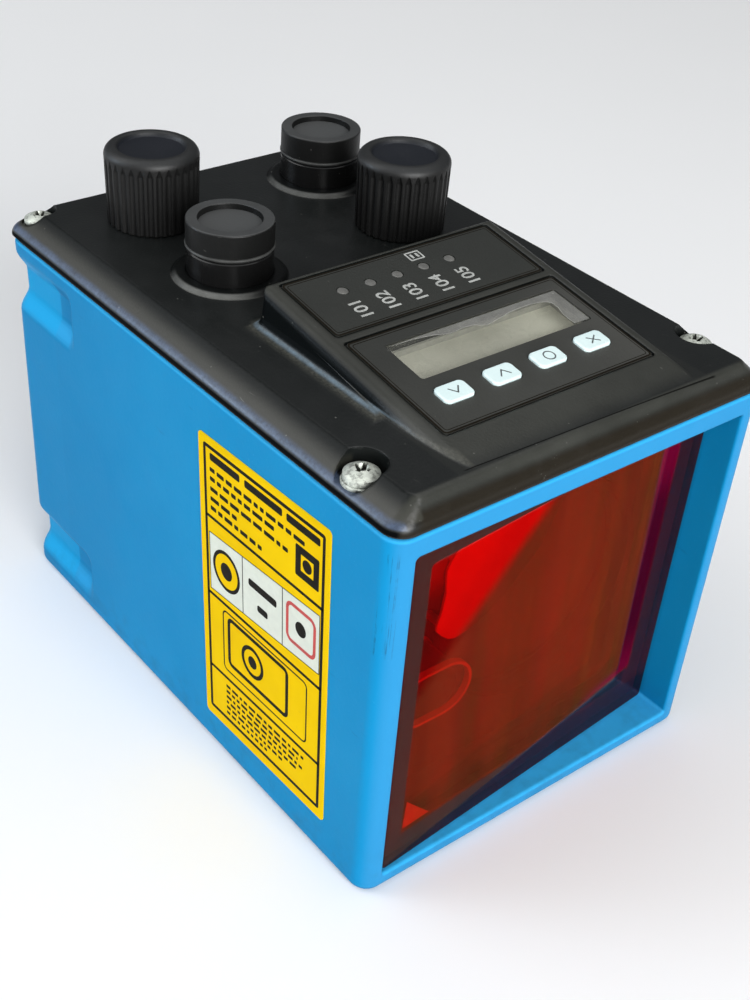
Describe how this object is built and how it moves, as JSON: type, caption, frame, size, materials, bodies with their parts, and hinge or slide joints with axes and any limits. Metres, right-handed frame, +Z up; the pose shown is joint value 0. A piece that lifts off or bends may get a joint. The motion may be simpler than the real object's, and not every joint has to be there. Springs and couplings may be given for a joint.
{
  "type": "laser distance sensor",
  "caption": "Box-shaped laser distance sensor with a red front window, sloping key and display panel on the cover, and round screw connectors under caps.",
  "frame": {"origin": "bottom centre of the bounding box, on the mounting face", "axes": "+Z up, -Y out of the window along the beam, -X towards the side with the label"},
  "size_m": [0.0695, 0.1014, 0.0832],
  "materials": {
    "blue_paint": "satin blue coat over die-cast metal",
    "black_paint": "satin black coat",
    "red_window": "polished red acrylic",
    "seal_rubber": "matt black",
    "zinc_steel": "zinc plated",
    "black_plastic": "fine matt grain",
    "bush_black": "glossy black",
    "nickel_brass": "nickel plated, turned",
    "overlay_film": "fine textured film",
    "clear_pane": "clear pane",
    "white_key": "satin white",
    "light_guide": "frosted",
    "label_print": "printed film",
    "circuit_board": "solder resist",
    "chip_black": "moulded",
    "lcd_body": "moulded frame",
    "lcd_glass": "grey green display glass",
    "lens_glass": "polished",
    "barrel_metal": "turned",
    "can_metal": "pressed tin plate",
    "spring_steel": "polished",
    "led_yellow": "clear moulded",
    "cable_film": "ribbon jacket"
  },
  "bodies": {
    "sensor": {"housing": "blue_paint", "top_cover": "black_paint", "front_window": "red_window", "window_seal": "seal_rubber", "side_label": "label_print", "cover_gasket": "seal_rubber", "cover_screws": "zinc_steel", "cover_screw_washers": "zinc_steel", "key_overlay": "overlay_film", "indicator_overlay": "overlay_film", "display_pane": "clear_pane", "light_guides": "light_guide", "display_module": "lcd_body", "display_glass": "lcd_glass", "display_board": "circuit_board", "key_domes": "spring_steel", "indicator_leds": "led_yellow", "display_board_screws": "zinc_steel", "connector_stubs": "nickel_brass", "connector_sockets": "bush_black", "stub_inserts": "black_plastic", "stub_pins": "nickel_brass", "socket_inserts": "black_plastic", "socket_contacts": "nickel_brass", "socket_nuts": "nickel_brass", "connector_board": "circuit_board", "connector_board_spacers": "nickel_brass", "connector_board_screws": "zinc_steel", "optics_carrier": "black_plastic", "carrier_screws": "zinc_steel", "receiver_lens": "lens_glass", "lens_ring": "black_plastic", "laser_barrel": "barrel_metal", "beam_seal": "black_plastic", "collimator_lens": "lens_glass", "laser_diode": "can_metal", "laser_board": "circuit_board", "detector": "can_metal", "detector_board": "circuit_board", "main_board": "circuit_board", "main_board_posts": "nickel_brass", "main_board_screws": "zinc_steel", "main_board_chips": "chip_black", "shield_can": "can_metal", "cable_headers": "black_plastic", "flat_cable_display": "cable_film", "flat_cable_ports": "cable_film"},
    "key_1_body": {"key_1": "white_key"},
    "key_2_body": {"key_2": "white_key"},
    "key_3_body": {"key_3": "white_key"},
    "key_4_body": {"key_4": "white_key"},
    "cap_seal_rear_left_body": {"cap_seal_rear_left": "seal_rubber"},
    "cap_rear_left_body": {"cap_rear_left": "black_plastic"},
    "cap_seal_front_right_body": {"cap_seal_front_right": "seal_rubber"},
    "cap_front_right_body": {"cap_front_right": "black_plastic"},
    "plug_ring_front_left_body": {"plug_ring_front_left": "seal_rubber"},
    "plug_front_left_body": {"plug_front_left": "black_plastic"},
    "plug_ring_rear_right_body": {"plug_ring_rear_right": "seal_rubber"},
    "plug_rear_right_body": {"plug_rear_right": "black_plastic"}
  },
  "joints": [
    {"name": "key_1_press", "type": "slide", "parent": "sensor", "child": "key_1_body", "axis": [0, 0.1355, -0.9908], "range_m": [0, 0.0004], "stiffness_N_per_m": 500},
    {"name": "key_2_press", "type": "slide", "parent": "sensor", "child": "key_2_body", "axis": [0, 0.1355, -0.9908], "range_m": [0, 0.0004], "stiffness_N_per_m": 500},
    {"name": "key_3_press", "type": "slide", "parent": "sensor", "child": "key_3_body", "axis": [0, 0.1355, -0.9908], "range_m": [0, 0.0004], "stiffness_N_per_m": 500},
    {"name": "key_4_press", "type": "slide", "parent": "sensor", "child": "key_4_body", "axis": [0, 0.1355, -0.9908], "range_m": [0, 0.0004], "stiffness_N_per_m": 500},
    {"name": "cap_rear_left_lift", "type": "slide", "parent": "sensor", "child": "cap_seal_rear_left_body", "axis": [0, 0, 1], "range_m": [0, 0.01]},
    {"name": "cap_rear_left_turn", "type": "hinge", "parent": "cap_seal_rear_left_body", "child": "cap_rear_left_body", "pos_m": [-0.0166, 0.0342, 0.0772], "axis": [0, 0, 1], "range_deg": [0, 3620]},
    {"name": "cap_front_right_lift", "type": "slide", "parent": "sensor", "child": "cap_seal_front_right_body", "axis": [0, 0, 1], "range_m": [0, 0.01]},
    {"name": "cap_front_right_turn", "type": "hinge", "parent": "cap_seal_front_right_body", "child": "cap_front_right_body", "pos_m": [0.0166, 0.0122, 0.0772], "axis": [0, 0, 1], "range_deg": [0, 3620]},
    {"name": "plug_front_left_lift", "type": "slide", "parent": "sensor", "child": "plug_ring_front_left_body", "axis": [0, 0, 1], "range_m": [0, 0.005]},
    {"name": "plug_front_left_turn", "type": "hinge", "parent": "plug_ring_front_left_body", "child": "plug_front_left_body", "pos_m": [-0.0166, 0.0122, 0.0781], "axis": [0, 0, 1], "range_deg": [0, 1820]},
    {"name": "plug_rear_right_lift", "type": "slide", "parent": "sensor", "child": "plug_ring_rear_right_body", "axis": [0, 0, 1], "range_m": [0, 0.005]},
    {"name": "plug_rear_right_turn", "type": "hinge", "parent": "plug_ring_rear_right_body", "child": "plug_rear_right_body", "pos_m": [0.0166, 0.0342, 0.0781], "axis": [0, 0, 1], "range_deg": [0, 1820]}
  ],
  "couplings": [
    {"joint": "cap_rear_left_turn", "follows": "cap_rear_left_lift", "rad_per_m": 6283.2},
    {"joint": "cap_front_right_turn", "follows": "cap_front_right_lift", "rad_per_m": 6283.2},
    {"joint": "plug_front_left_turn", "follows": "plug_front_left_lift", "rad_per_m": 6283.2},
    {"joint": "plug_rear_right_turn", "follows": "plug_rear_right_lift", "rad_per_m": 6283.2}
  ]
}
